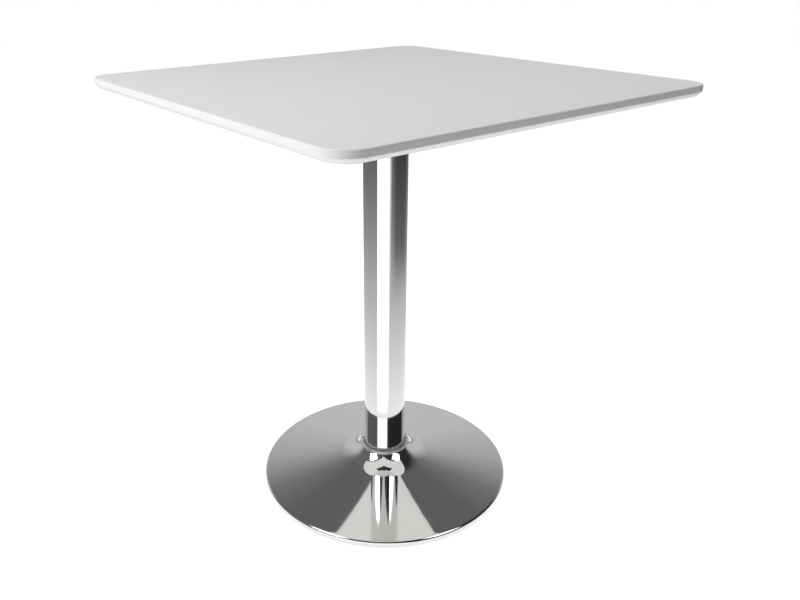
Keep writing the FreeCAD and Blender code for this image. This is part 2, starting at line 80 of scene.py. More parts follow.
def rounded(corners, steps=6):
    """A closed outline from (x, y, radius) corners, each corner with a radius drawn as a true arc.

    The arc starts and ends where its radius touches the two sides. Short support points beside each
    arc keep the shading of the flat sides flat.
    """
    spots = np.array([corner[:2] for corner in corners], float)
    out = []
    for k, corner in enumerate(corners):
        here, radius = spots[k], corner[2]
        back, ahead = spots[k - 1] - here, spots[(k + 1) % len(spots)] - here
        back, ahead = back / np.linalg.norm(back), ahead / np.linalg.norm(ahead)
        if radius == 0:
            out.append(here[None])
            continue
        half = math.acos(np.clip(back @ ahead, -1, 1)) / 2
        reach = radius / math.tan(half)
        centre = here + (back + ahead) / np.linalg.norm(back + ahead) * radius / math.sin(half)
        start, end = here + back * reach - centre, here + ahead * reach - centre
        sweep = math.atan2(start[0] * end[1] - start[1] * end[0], start @ end)
        t = np.linspace(0, sweep, steps + 1)[:, None]
        side = np.array([-start[1], start[0]])
        arc = centre + start * np.cos(t) + side * np.sin(t)
        support = min(0.25 * radius, 0.4 * MM)
        out += [(arc[0] + back * support)[None], arc, (arc[-1] + ahead * support)[None]]
    return np.vstack(out)


def turned(radius, height, segments, closed=False):
    """Points and faces of a surface round the Z axis.

    Point (i, j) is (r_ij cos a_j, r_ij sin a_j, z_ij) with a_j = 2 pi j / segments. The rows are
    joined last to first where the outline is closed. Otherwise they start and end on the axis.
    """
    angle = np.linspace(0, TURN, segments, endpoint=False)
    radius, height, angle = np.broadcast_arrays(radius, height, angle)
    points = np.stack([radius * np.cos(angle), radius * np.sin(angle), height], axis=-1)
    return points.reshape(-1, 3), grid_faces(len(points), segments, closed, True)


def lathe(name, outline, segments=256):
    """A closed outline of (radius, height) points turned once round the Z axis."""
    points, faces = turned(outline[:, :1], outline[:, 1:], segments, True)
    return make_object(name, points, faces.tolist())


def repeated(name, shape, places):
    """One object that holds a shape's points and faces once at each (x, y) place."""
    points, faces = shape
    shift = np.hstack([places, np.zeros((len(places), 1))])
    every = (points[None] + shift[:, None]).reshape(-1, 3)
    steps = np.arange(len(places))[:, None, None] * len(points)
    return make_object(name, every, (faces[None] + steps).reshape(-1, faces.shape[1]).tolist())


def thread(height, segments, crest, depth, pitch, ends):
    """Radii of a screw thread on a grid of heights by angles.

    r = crest - depth (1 - cos(2 pi z / pitch - a)) / 2, faded in over one pitch from each end.
    """
    angle = np.linspace(0, TURN, segments, endpoint=False)
    wave = (1 - np.cos(TURN * height / pitch - angle)) / 2
    inside = np.clip(np.minimum(height - ends[0], ends[1] - height) / pitch, 0, 1)
    return crest - depth * wave * inside


def softened(node, width, steps=2):
    """A copy of a CAD node with its sharp edges rounded off, as deburring and coating leave them."""
    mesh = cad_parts[node].data.copy()
    work = bmesh.new()
    work.from_mesh(mesh)
    bmesh.ops.remove_doubles(work, verts=work.verts, dist=0.001 * MM)
    bmesh.ops.dissolve_limit(work, angle_limit=math.radians(0.4), verts=work.verts, edges=work.edges)
    work.to_mesh(mesh)
    work.free()
    mesh.materials.clear()
    mesh.shade_smooth()
    piece = bpy.data.objects.new(node + "_finished", mesh)
    bpy.context.scene.collection.objects.link(piece)
    edges = piece.modifiers.new("edges", "BEVEL")
    edges.width, edges.segments, edges.limit_method = width, steps, "ANGLE"
    edges.angle_limit = math.radians(35)
    piece.modifiers.new("flats", "WEIGHTED_NORMAL")
    return piece


def bead(path, size, ripple, pitch):
    """Points and faces of a weld bead along a path of points.

    A circle is carried along the path, level across and upright, with radius
    size (1 + ripple cos(2 pi s / pitch)) at length s, drawn in to nothing at both ends.
    """
    step = np.gradient(path, axis=0)
    along = step / np.linalg.norm(step, axis=1, keepdims=True)
    side = np.cross(along, (0, 0, 1.0))
    length = np.concatenate([[0], np.cumsum(np.linalg.norm(np.diff(path, axis=0), axis=1))])
    end = np.minimum(length, length[-1] - length)
    close = np.sqrt(1 - (1 - np.clip(end / size, 0, 1)) ** 2)
    radius = (size * (1 + ripple * np.cos(TURN * length / pitch)) * close)[:, None, None]
    b = np.linspace(0, TURN, 12, endpoint=False)[None, :, None]
    points = path[:, None] + radius * (np.cos(b) * side[:, None] + np.sin(b) * np.array((0, 0, 1.0)))
    return points.reshape(-1, 3), grid_faces(len(path), 12, False, True)


# ---------------------------------------------------------------- material helpers

def linear(hex_colour):
    """An sRGB hex colour as linear red, green, blue and alpha."""
    channels = [int(hex_colour[i:i + 2], 16) / 255 for i in (1, 3, 5)]
    return tuple(c / 12.92 if c <= 0.04045 else ((c + 0.055) / 1.055) ** 2.4 for c in channels) + (1.0,)


def add_node(tree, kind, settings=None, links=None):
    """Add one node. Settings name its properties or, with an = sign, its inputs; links feed inputs."""
    node = tree.nodes.new(kind)
    for key, setting in (settings or {}).items():
        if key.startswith("="):
            slot = key[1:]
            node.inputs[int(slot) if slot.isdigit() else slot].default_value = setting
        else:
            setattr(node, key, setting)
    for key, socket in (links or {}).items():
        tree.links.new(socket, node.inputs[int(key) if key.isdigit() else key])
    return node


def new_material(name):
    """An empty node material with its output, ready for a shader."""
    material = bpy.data.materials.new(name)
    material.use_nodes = True
    material.node_tree.nodes.clear()
    return material, material.node_tree


def finish_material(tree, shader):
    """Join a shader node to the material's output."""
    out = add_node(tree, "ShaderNodeOutputMaterial")
    tree.links.new(shader.outputs[0], out.inputs["Surface"])


# ---------------------------------------------------------------- materials
# A pattern's scale counts its features to the metre: 1000 draws grains 1 mm across.

def chrome_plate():
    """Bright chrome plate over polished steel.

    Polishing leaves faint lines along the tube, a fine grain on the dish and a slow ripple on both, so
    straight reflections waver a little.
    """
    material, tree = new_material("chrome_plate")
    place = add_node(tree, "ShaderNodeTexCoord").outputs["Object"]
    lines_at = add_node(tree, "ShaderNodeMapping", {"=Scale": (1.0, 1.0, 0.08)}, {"Vector": place})
    lines = add_node(tree, "ShaderNodeTexNoise", {"=Scale": 900.0, "=Detail": 3.0},
                     {"Vector": lines_at.outputs[0]})
    ripple = add_node(tree, "ShaderNodeTexNoise", {"=Scale": 22.0, "=Detail": 2.0}, {"Vector": place})
    fine = add_node(tree, "ShaderNodeBump", {"=Strength": 0.18, "=Distance": 0.02 * MM},
                    {"Height": lines.outputs[0]})
    slow = add_node(tree, "ShaderNodeBump", {"=Strength": 0.35, "=Distance": 0.12 * MM},
                    {"Height": ripple.outputs[0], "Normal": fine.outputs[0]})
    rough = add_node(tree, "ShaderNodeMapRange", {"=To Min": 0.03, "=To Max": 0.06},
                     {"Value": lines.outputs[0]})
    shader = add_node(tree, "ShaderNodeBsdfPrincipled",
                      {"=Base Color": linear("#DADAD9"), "=Metallic": 1.0},
                      {"Roughness": rough.outputs[0], "Normal": slow.outputs[0]})
    finish_material(tree, shader)
    return material


def white_foil():
    """White furniture foil, vacuum-pressed over fibreboard: satin, with a very fine orange peel."""
    material, tree = new_material("white_foil")
    place = add_node(tree, "ShaderNodeTexCoord").outputs["Object"]
    peel = add_node(tree, "ShaderNodeTexNoise", {"=Scale": 420.0, "=Detail": 2.0}, {"Vector": place})
    cloud = add_node(tree, "ShaderNodeTexNoise", {"=Scale": 9.0, "=Detail": 3.0}, {"Vector": place})
    colour = add_node(tree, "ShaderNodeMix",
                      {"data_type": "RGBA", "=6": linear("#E9E9E8"), "=7": linear("#EEEEED")},
                      {"0": cloud.outputs[0]})
    bump = add_node(tree, "ShaderNodeBump", {"=Strength": 0.12, "=Distance": 0.03 * MM},
                    {"Height": peel.outputs[0]})
    shader = add_node(tree, "ShaderNodeBsdfPrincipled", {"=Roughness": 0.5, "=IOR": 1.45},
                      {"Base Color": colour.outputs[2], "Normal": bump.outputs[0]})
    finish_material(tree, shader)
    return material


def backing_film():
    """White balancing film under the board: printed paper under resin, duller than the foil."""
    material, tree = new_material("backing_film")
    place = add_node(tree, "ShaderNodeTexCoord").outputs["Object"]
    fibre = add_node(tree, "ShaderNodeTexNoise", {"=Scale": 260.0, "=Detail": 4.0}, {"Vector": place})
    cloud = add_node(tree, "ShaderNodeTexNoise", {"=Scale": 14.0, "=Detail": 2.0}, {"Vector": place})
    colour = add_node(tree, "ShaderNodeMix",
                      {"data_type": "RGBA", "=6": linear("#E3E3E1"), "=7": linear("#EAEAE8")},
                      {"0": cloud.outputs[0]})
    rough = add_node(tree, "ShaderNodeMapRange", {"=To Min": 0.5, "=To Max": 0.62},
                     {"Value": fibre.outputs[0]})
    bump = add_node(tree, "ShaderNodeBump", {"=Strength": 0.2, "=Distance": 0.04 * MM},
                    {"Height": fibre.outputs[0]})
    shader = add_node(tree, "ShaderNodeBsdfPrincipled", {"=IOR": 1.5},
                      {"Base Color": colour.outputs[2], "Roughness": rough.outputs[0],
                       "Normal": bump.outputs[0]})
    finish_material(tree, shader)
    return material


def milky_polyethylene():
    """Moulded natural polyethylene: milky, a little light passes under its skin, fine moulding haze."""
    material, tree = new_material("milky_polyethylene")
    place = add_node(tree, "ShaderNodeTexCoord").outputs["Object"]
    haze = add_node(tree, "ShaderNodeTexNoise", {"=Scale": 350.0, "=Detail": 3.0}, {"Vector": place})
    flow = add_node(tree, "ShaderNodeTexNoise", {"=Scale": 18.0, "=Detail": 2.0}, {"Vector": place})
    colour = add_node(tree, "ShaderNodeMix",
                      {"data_type": "RGBA", "=6": linear("#DDE1E4"), "=7": linear("#ECEFF1")},
                      {"0": flow.outputs[0]})
    rough = add_node(tree, "ShaderNodeMapRange", {"=To Min": 0.28, "=To Max": 0.4},
                     {"Value": haze.outputs[0]})
    bump = add_node(tree, "ShaderNodeBump", {"=Strength": 0.15, "=Distance": 0.05 * MM},
                    {"Height": haze.outputs[0]})
    shader = add_node(tree, "ShaderNodeBsdfPrincipled",
                      {"=IOR": 1.51, "=Subsurface Weight": 0.35, "=Subsurface Scale": 2.0 * MM,
                       "=Subsurface Radius": (1.0, 1.0, 1.0)},
                      {"Base Color": colour.outputs[2], "Roughness": rough.outputs[0],
                       "Normal": bump.outputs[0]})
    finish_material(tree, shader)
    return material


def clear_polycarbonate():
    """Moulded clear plastic: glassy, with the faintest flow lines round it."""
    material, tree = new_material("clear_polycarbonate")
    place = add_node(tree, "ShaderNodeTexCoord").outputs["Object"]
    flow = add_node(tree, "ShaderNodeTexNoise", {"=Scale": 60.0, "=Detail": 2.0}, {"Vector": place})
    rough = add_node(tree, "ShaderNodeMapRange", {"=To Min": 0.04, "=To Max": 0.1},
                     {"Value": flow.outputs[0]})
    bump = add_node(tree, "ShaderNodeBump", {"=Strength": 0.1, "=Distance": 0.05 * MM},
                    {"Height": flow.outputs[0]})
    shader = add_node(tree, "ShaderNodeBsdfPrincipled",
                      {"=Base Color": linear("#EEF1F2"), "=IOR": 1.58, "=Transmission Weight": 0.7},
                      {"Roughness": rough.outputs[0], "Normal": bump.outputs[0]})
    finish_material(tree, shader)
    return material


def black_powder_coat():
    """Black powder coat baked on welded steel: satin, with an orange peel about 1.5 mm across."""
    material, tree = new_material("black_powder_coat")
    place = add_node(tree, "ShaderNodeTexCoord").outputs["Object"]
    peel = add_node(tree, "ShaderNodeTexNoise", {"=Scale": 650.0, "=Detail": 2.0}, {"Vector": place})
    dust = add_node(tree, "ShaderNodeTexNoise", {"=Scale": 40.0, "=Detail": 4.0}, {"Vector": place})
    colour = add_node(tree, "ShaderNodeMix",
                      {"data_type": "RGBA", "=6": linear("#101112"), "=7": linear("#1C1D1F")},
                      {"0": dust.outputs[0]})
    rough = add_node(tree, "ShaderNodeMapRange", {"=To Min": 0.36, "=To Max": 0.52},
                     {"Value": dust.outputs[0]})
    bump = add_node(tree, "ShaderNodeBump", {"=Strength": 0.5, "=Distance": 0.12 * MM},
                    {"Height": peel.outputs[0]})
    shader = add_node(tree, "ShaderNodeBsdfPrincipled", {"=IOR": 1.5},
                      {"Base Color": colour.outputs[2], "Roughness": rough.outputs[0],
                       "Normal": bump.outputs[0]})
    finish_material(tree, shader)
    return material


def sand_cast_iron():
    """Raw grey iron from a sand mould: dark, grainy at about 1 mm, with duller and browner patches."""
    material, tree = new_material("sand_cast_iron")
    place = add_node(tree, "ShaderNodeTexCoord").outputs["Object"]
    sand = add_node(tree, "ShaderNodeTexNoise", {"=Scale": 900.0, "=Detail": 4.0}, {"Vector": place})
    patch = add_node(tree, "ShaderNodeTexNoise", {"=Scale": 26.0, "=Detail": 5.0}, {"Vector": place})
    tint = add_node(tree, "ShaderNodeValToRGB", None, {"0": patch.outputs[0]})
    for element, (at, shade) in zip(tint.color_ramp.elements, ((0.35, "#4A4744"), (0.65, "#66686A"))):
        element.position = at
        element.color = linear(shade)
    rough = add_node(tree, "ShaderNodeMapRange", {"=To Min": 0.5, "=To Max": 0.75},
                     {"Value": patch.outputs[0]})
    bump = add_node(tree, "ShaderNodeBump", {"=Strength": 0.8, "=Distance": 0.25 * MM},
                    {"Height": sand.outputs[0]})
    shader = add_node(tree, "ShaderNodeBsdfPrincipled", {"=Metallic": 1.0},
                      {"Base Color": tint.outputs[0], "Roughness": rough.outputs[0],
                       "Normal": bump.outputs[0]})
    finish_material(tree, shader)
    return material


def zinc_plated_steel():
    """Zinc-plated steel: pale bluish grey, with small crystal patches that vary in gloss."""
    material, tree = new_material("zinc_plated_steel")
    place = add_node(tree, "ShaderNodeTexCoord").outputs["Object"]
    crystal = add_node(tree, "ShaderNodeTexVoronoi", {"=Scale": 700.0}, {"Vector": place})
    cloud = add_node(tree, "ShaderNodeTexNoise", {"=Scale": 120.0, "=Detail": 3.0}, {"Vector": place})
    colour = add_node(tree, "ShaderNodeMix",
                      {"data_type": "RGBA", "=6": linear("#A9AFB4"), "=7": linear("#C6CACC")},
                      {"0": cloud.outputs[0]})
    rough = add_node(tree, "ShaderNodeMapRange", {"=To Min": 0.22, "=To Max": 0.42},
                     {"Value": crystal.outputs["Color"]})
    bump = add_node(tree, "ShaderNodeBump", {"=Strength": 0.2, "=Distance": 0.02 * MM},
                    {"Height": cloud.outputs[0]})
    shader = add_node(tree, "ShaderNodeBsdfPrincipled", {"=Metallic": 1.0},
                      {"Base Color": colour.outputs[2], "Roughness": rough.outputs[0],
                       "Normal": bump.outputs[0]})
    finish_material(tree, shader)
    return material


def turned_brass():
    """Free-cutting brass from a bar lathe: warm yellow, fine tool lines 0.2 mm apart round the axis."""
    material, tree = new_material("turned_brass")
    place = add_node(tree, "ShaderNodeTexCoord").outputs["Object"]
    stretch = add_node(tree, "ShaderNodeMapping", {"=Scale": (0.1, 0.1, 1.0)}, {"Vector": place})
    lines = add_node(tree, "ShaderNodeTexNoise", {"=Scale": 5000.0, "=Detail": 2.0},
                     {"Vector": stretch.outputs[0]})
    cloud = add_node(tree, "ShaderNodeTexNoise", {"=Scale": 150.0, "=Detail": 3.0}, {"Vector": place})
    colour = add_node(tree, "ShaderNodeMix",
                      {"data_type": "RGBA", "=6": linear("#B9913F"), "=7": linear("#D8B563")},
                      {"0": cloud.outputs[0]})
    rough = add_node(tree, "ShaderNodeMapRange", {"=To Min": 0.2, "=To Max": 0.34},
                     {"Value": lines.outputs[0]})
    bump = add_node(tree, "ShaderNodeBump", {"=Strength": 0.3, "=Distance": 0.01 * MM},
                    {"Height": lines.outputs[0]})
    shader = add_node(tree, "ShaderNodeBsdfPrincipled", {"=Metallic": 1.0},
                      {"Base Color": colour.outputs[2], "Roughness": rough.outputs[0],
                       "Normal": bump.outputs[0]})
    finish_material(tree, shader)
    return material


def pressed_fibreboard():
    """Pressed wood fibres: matt brown, short fibres lying flat with darker specks."""
    material, tree = new_material("pressed_fibreboard")
    place = add_node(tree, "ShaderNodeTexCoord").outputs["Object"]
    lie = add_node(tree, "ShaderNodeMapping", {"=Scale": (1.0, 1.0, 6.0)}, {"Vector": place})
    fibre = add_node(tree, "ShaderNodeTexNoise", {"=Scale": 380.0, "=Detail": 5.0},
                     {"Vector": lie.outputs[0]})
    tint = add_node(tree, "ShaderNodeValToRGB", None, {"0": fibre.outputs[0]})
    for element, (at, shade) in zip(tint.color_ramp.elements, ((0.3, "#8A6B49"), (0.7, "#B89870"))):
        element.position = at
        element.color = linear(shade)
    bump = add_node(tree, "ShaderNodeBump", {"=Strength": 0.5, "=Distance": 0.1 * MM},
                    {"Height": fibre.outputs[0]})
    shader = add_node(tree, "ShaderNodeBsdfPrincipled", {"=Roughness": 0.85, "=IOR": 1.45},
                      {"Base Color": tint.outputs[0], "Normal": bump.outputs[0]})
    finish_material(tree, shader)
    return material


# ---------------------------------------------------------------- pieces

def box_of(node):
    """A node's lowest and highest corners as arrays."""
    low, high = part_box(node)
    return np.array(low), np.array(high)


def give(piece, slot, material, *nodes):
    """Dress a new piece, let it ride on the table and stand for its CAD nodes."""
    piece.data.materials.append(material)
    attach(piece, "root")
    if nodes:
        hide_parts(*nodes)
    return piece


QUARTERS = TURN / 4 * np.arange(4)
SCREW_ANGLES = np.concatenate([QUARTERS, QUARTERS + TURN / 8])
SIDE_REACH, CORNER_REACH = 84 * MM, 120 * MM
SCREW_REACH = np.repeat([SIDE_REACH, CORNER_REACH], 4)[:, None]
SCREW_PLACES = SCREW_REACH * np.stack([np.cos(SCREW_ANGLES), np.sin(SCREW_ANGLES)], axis=-1)


def top_foil_skin():
    """Foil drawn over the top: one cross-section carried round a rounded square.

    Point (i, j) lies at height z_i on the outline whose corner arcs have radius 40 mm - d_i about
    fixed centres, d_i being how far in from the outermost edge the cross-section is there. A point
    0.5 mm along the side from each arc's end keeps the sides flat. The face and the side towards
    the board are closed with one flat face each.
    """
    low, high = box_of("top_foil")
    skin, edge_round, bevel, corner_r, flat_in = 0.4 * MM, 2.0 * MM, 6.5 * MM, 40 * MM, 12 * MM
    top, foot = high[2], low[2]
    inner_bevel = bevel + skin * (math.sqrt(2) - 1)
    section = rounded([
        (-flat_in, top, 0), (0, top, edge_round), (0, foot + bevel, 0.9 * MM), (-bevel, foot, 0),
        (-skin - inner_bevel, foot, 0), (-skin, foot + inner_bevel, 0.5 * MM),
        (-skin, top - skin, edge_round - skin), (-flat_in, top - skin, 0)], 7)
    arc_points, support = 17, 0.5 * MM
    turn = np.concatenate([[0], np.linspace(0, TURN / 4, arc_points), [TURN / 4]])
    slide = np.concatenate([[-support], np.zeros(arc_points), [support]])
    angle = (np.arange(4)[:, None] * TURN / 4 + turn).reshape(-1)
    out = np.stack([np.cos(angle), np.sin(angle)], axis=-1)
    along = np.stack([-np.sin(angle), np.cos(angle)], axis=-1) * np.tile(slide, 4)[:, None]
    corners = np.array([(1, 1), (-1, 1), (-1, -1), (1, -1)])
    centre = np.repeat(corners, len(turn), axis=0) * (high[0] - corner_r)
    flat = (centre + along)[None] + (corner_r + section[:, 0])[:, None, None] * out[None]
    height = np.broadcast_to(section[:, 1][:, None, None], flat.shape[:2] + (1,))
    rows, cols = flat.shape[:2]
    points = np.concatenate([flat, height], axis=-1).reshape(-1, 3)
    faces = grid_faces(rows, cols, False, True).tolist()
    faces += [list(range(cols)), list(range((rows - 1) * cols, rows * cols))]
    return make_object("top_foil_wrapped", points, faces)


def base_cover():
    """Spun cover: rim, long shallow dish, flare and neck arcs in one smooth chain, with an even wall."""
    low, high = box_of("base_cover")
    wall, base_r = 1.2 * MM, high[0]
    rim_r, rim_z = 4.5 * MM, 13.5 * MM
    neck_round, neck_r, flare_r, slope, dish_r = 4 * MM, 41.5 * MM, 72 * MM, math.radians(48), 4.0
    rim = np.array([base_r - rim_r, rim_z])
    neck = np.array([neck_r + neck_round, high[2]])
    flare = neck + (flare_r - neck_round) * np.array([math.sin(slope), math.cos(slope)])
    gap = np.linalg.norm(flare - rim)
    along = (flare - rim) / gap
    across = np.array([along[1], -along[0]])
    across *= np.sign(across[1])
    foot = ((dish_r + rim_r) ** 2 - (dish_r - flare_r) ** 2 + gap ** 2) / (2 * gap)
    dish = rim + along * foot + across * math.sqrt((dish_r + rim_r) ** 2 - foot ** 2)
    steep = math.atan2(*(dish - rim)[::-1])
    shallow = math.atan2(*(flare - dish)[::-1])
    arcs = [(rim, -rim_r, 0, steep, 14), (dish, dish_r, steep - math.pi, shallow, 44),
            (flare, flare_r, shallow, -math.pi / 2 - slope, 48),
            (neck, neck_round, -math.pi / 2 - slope, -math.pi, 10)]

    def side(grow):
        """The wall's outer side, or the inner side where grow is the wall's thickness."""
        chain = [np.array([[base_r - grow, low[2]]])]
        for centre, radius, start, end, steps in arcs:
            t = np.linspace(start, end, steps)[1 if radius > 0 else 0:, None]
            chain.append(centre + abs(radius + grow) * np.hstack([np.cos(t), np.sin(t)]))
        return np.vstack(chain)

    outline = np.vstack([side(0.0), side(wall)[::-1]])
    return lathe("base_cover_spun", outline, 384)


def column():
    """Tube with softly broken end edges."""
    low, high = box_of("column_tube")
    wall, edge = 1.5 * MM, 0.4 * MM
    bore = high[0] - wall
    outline = rounded([(bore, low[2], edge), (high[0], low[2], edge), (high[0], high[2], edge),
                       (bore, high[2], edge)], 4)
    return lathe("column_tube_chromed", outline, 256)


def neck_ring():
    """Clear ring round the column's foot: a thin flange on a sleeve, all its edges rounded."""
    low, high = box_of("neck_ring")
    bore, sleeve_r, neck_top = 38.15 * MM, 40.15 * MM, box_of("base_cover")[1][2]
    outline = rounded([
        (bore, low[2], 0.5 * MM), (sleeve_r, low[2], 0.5 * MM), (sleeve_r, neck_top, 0.2 * MM),
        (high[0], neck_top, 0.2 * MM), (high[0], high[2], 0.8 * MM), (bore, high[2], 0.3 * MM)], 5)
    return lathe("neck_ring_moulded", outline, 192)


def floor_ring():
    """Moulded ring: tread on the floor, ledge under the weight and lip inside the cover's edge."""
    high = box_of("floor_ring")[1]
    outer, tread_inner, ledge_z = high[0], high[0] - 12 * MM, 2.5 * MM
    lip_outer, lip_inner, shelf = 231.1 * MM, 228.9 * MM, 7.0 * MM
    ledge_inner = 206 * MM
    outline = rounded([
        (tread_inner, 0, 0.6 * MM), (outer, 0, 2.0 * MM), (outer, shelf, 0.7 * MM),
        (lip_outer, shelf, 0.1 * MM), (lip_outer, high[2], 0.6 * MM), (lip_inner, high[2], 0.6 * MM),
        (lip_inner, shelf, 0.3 * MM), (ledge_inner, shelf, 0.6 * MM), (ledge_inner, ledge_z, 0.6 * MM),
        (tread_inner, ledge_z, 0.3 * MM)], 5)
    return lathe("floor_ring_moulded", outline, 320)


def weight_casting():
    """Cast disc with a coned boss: every corner has a casting radius, the machined seats a small one."""
    low, high = box_of("weight")
    plate_top, boss_top = low[2] + 10 * MM, 31 * MM
    spigot_r, spigot_bore, rod_hole = 36.3 * MM, 28.3 * MM, 6.5 * MM
    recess_r, recess_top = 20 * MM, low[2] + 13.5 * MM
    outline = rounded([
        (recess_r, low[2], 1.0 * MM), (high[0], low[2], 1.5 * MM), (high[0], plate_top, 3.0 * MM),
        (74 * MM, plate_top, 5.0 * MM), (56 * MM, boss_top, 2.5 * MM), (spigot_r, boss_top, 0.3 * MM),
        (spigot_r, high[2], 1.2 * MM), (spigot_bore, high[2], 1.2 * MM), (spigot_bore, boss_top, 1.5 * MM),
        (rod_hole, boss_top, 0.5 * MM), (rod_hole, recess_top, 0.3 * MM),
        (recess_r, recess_top, 1.0 * MM)], 5)
    return lathe("weight_casting", outline, 192)


def tie_rod():
    """Steel rod with a rolled thread, 12 mm across and 1.75 mm pitch, over 45 mm at each end."""
    low, high = box_of("tie_rod")
    crest, depth, chamfer, pitch, threaded = high[0], 1.0 * MM, 1.0 * MM, 1.75 * MM, 45 * MM
    bottom, top = low[2], high[2]
    lower = np.arange(bottom + chamfer, bottom + threaded, pitch / 8)
    upper = np.arange(top - threaded, top - chamfer + pitch / 16, pitch / 8)
    height = np.concatenate([[bottom, bottom], lower, upper, [top, top]])[:, None]
    segments = 40
    radius = np.vstack([
        np.zeros((1, segments)), np.full((1, segments), crest - chamfer),
        thread(lower[:, None], segments, crest, depth, pitch, (bottom, bottom + threaded)),
        thread(upper[:, None], segments, crest, depth, pitch, (top - threaded, top)),
        np.full((1, segments), crest - chamfer), np.zeros((1, segments))])
    points, faces = turned(radius, height, segments)
    return make_object("tie_rod_threaded", points, faces.tolist())


def domed_screw():
    """One socket screw, head down: a domed head with a hexagon recess, and a thread of 1 mm pitch.

    The recess has radius f / cos(w) at angle a, f being half the size across flats and w the angle
    from the nearest flat's middle. The dome is a quarter ellipse from the recess's edge to the rim.
    """
    low, high = box_of("top_screws")
    segments = 48
    angle = np.linspace(0, TURN, segments, endpoint=False)[None]
    level = np.zeros_like(angle)
    flat, broken, head_r, head_t, rim_t = 2.0 * MM, 0.1 * MM, 6.0 * MM, 3.6 * MM, 0.7 * MM
    shank_r, tip_r, depth, pitch = 2.95 * MM, 2.3 * MM, 0.5 * MM, 1.0 * MM
    under, fillet, chamfer = 0.2 * MM, 0.4 * MM, 0.5 * MM
    face, seat, tip = low[2], low[2] + head_t, high[2]
    recess = face + 2.0 * MM
    hexagon = flat / np.cos((angle + TURN / 12) % (TURN / 6) - TURN / 12)
    mouth = hexagon * 1.06
    q = np.linspace(0, 1, 9)[:, None]
    dome_r = mouth + (head_r - mouth) * np.sin(q * TURN / 4)
    dome_z = face + (head_t - rim_t) * (1 - np.cos(q * TURN / 4))
    threaded = np.arange(seat + fillet, tip - chamfer, 0.14 * pitch)[:, None]
    shank = thread(threaded, segments, shank_r, depth, pitch, (seat, tip))
    rows = [
        (0, recess), (hexagon * 0.97, recess), (hexagon, recess - broken), (hexagon, face + broken),
        (dome_r, dome_z), (head_r, seat - under), (head_r - under, seat), (shank_r, seat),
        (shank, threaded), (tip_r, tip), (0, tip)]
    radius = np.vstack([r + level for r, z in rows])
    height = np.vstack([z + level for r, z in rows])
    return turned(radius, height, segments)


def screw_washer():
    """One plain washer with rounded edges."""
    low, high = box_of("screw_washers")
    inner, outer, edge = 3.4 * MM, 6.5 * MM, 0.3 * MM
    outline = rounded([(inner, low[2], edge), (outer, low[2], edge), (outer, high[2], edge),
                       (inner, high[2], edge)], 3)
    return turned(outline[:, :1], outline[:, 1:], 48, True)


def knurled_insert():
    """One press-in insert: two knurled bands with plain grooves between, and a chamfered bore.

    In a band the radius is 5 mm - 0.35 mm (1 - |cos(12 a)|), which gives 24 straight ridges.
    """
    low, high = box_of("threaded_inserts")
    segments = 96
    angle = np.linspace(0, TURN, segments, endpoint=False)[None]
    level = np.zeros_like(angle)
    crest, knurl, plain, bore = 5.0 * MM, 0.35 * MM, 4.5 * MM, 3.0 * MM
    ridges = crest - knurl * (1 - np.abs(np.cos(12 * angle)))
    mouth = bore * 1.15
    length = high[2] - low[2]
    rows = [
        (0.00, plain), (0.06, ridges), (0.40, ridges), (0.45, plain), (0.55, plain), (0.60, ridges),
        (0.94, ridges), (1.00, plain), (1.00, mouth), (0.95, bore), (0.05, bore), (0.00, mouth)]
    radius = np.vstack([r + level for share, r in rows])
    height = low[2] + length * np.array([share for share, r in rows])[:, None]
    return turned(radius, height, segments, True)


def rib_welds(angle):
    """Weld beads along both sides of one rib, where it stands on the support plate."""
    seat = box_of("support_plate")[0][2]
    out = np.array([math.cos(angle), math.sin(angle), 0])
    half_rib, inner_end, outer_end = 2.0 * MM, 44 * MM, 102 * MM
    size, ripple, pitch = 1.3 * MM, 0.09, 1.6 * MM
    side = np.array([-out[1], out[0], 0]) * half_rib
    reach = np.linspace(inner_end, outer_end, 140)[:, None]
    line = reach * out + np.array([0, 0, seat])
    beads = [bead(line + side, size, ripple, pitch), bead(line - side, size, ripple, pitch)]
    points = np.vstack([shape[0] for shape in beads])
    faces = np.vstack([beads[0][1], beads[1][1] + len(beads[0][0])])
    return points, faces


chrome = chrome_plate()
foil = white_foil()
milky = milky_polyethylene()
clear = clear_polycarbonate()
powder = black_powder_coat()
zinc = zinc_plated_steel()

give(base_cover(), "chrome", chrome, "base_cover")
give(column(), "chrome", chrome, "column_tube")
give(neck_ring(), "clear_plastic", clear, "neck_ring")
give(floor_ring(), "clear_plastic", milky, "floor_ring")
give(weight_casting(), "cast_iron", sand_cast_iron(), "weight")
give(tie_rod(), "zinc_steel", zinc, "tie_rod")
give(repeated("top_screws_domed", domed_screw(), SCREW_PLACES), "zinc_steel", zinc, "top_screws")
give(repeated("screw_washers_rounded", screw_washer(), SCREW_PLACES), "zinc_steel", zinc, "screw_washers")
give(repeated("threaded_inserts_knurled", knurled_insert(), SCREW_PLACES), "brass", turned_brass(),
     "threaded_inserts")
for node in ("lower_nut", "upper_nut", "lower_washer", "upper_washer"):
    give(softened(node, 0.35 * MM), "zinc_steel", zinc, node)
for node in ("support_plate", "column_plug"):
    give(softened(node, 0.5 * MM), "black_steel", powder, node)
for number, angle in enumerate(QUARTERS + TURN / 8, start=1):
    node = "plate_rib_%d" % number
    give(softened(node, 0.6 * MM), "black_steel", powder, node)
    points, faces = rib_welds(angle)
    give(make_object("rib_welds_%d" % number, points, faces.tolist()), "black_steel", powder)
give(top_foil_skin(), "white_foil", foil, "top_foil")
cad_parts["underside_backing"].data.materials[0] = backing_film()
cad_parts["top_board"].data.materials[0] = pressed_fibreboard()


# ---------------------------------------------------------------- studio

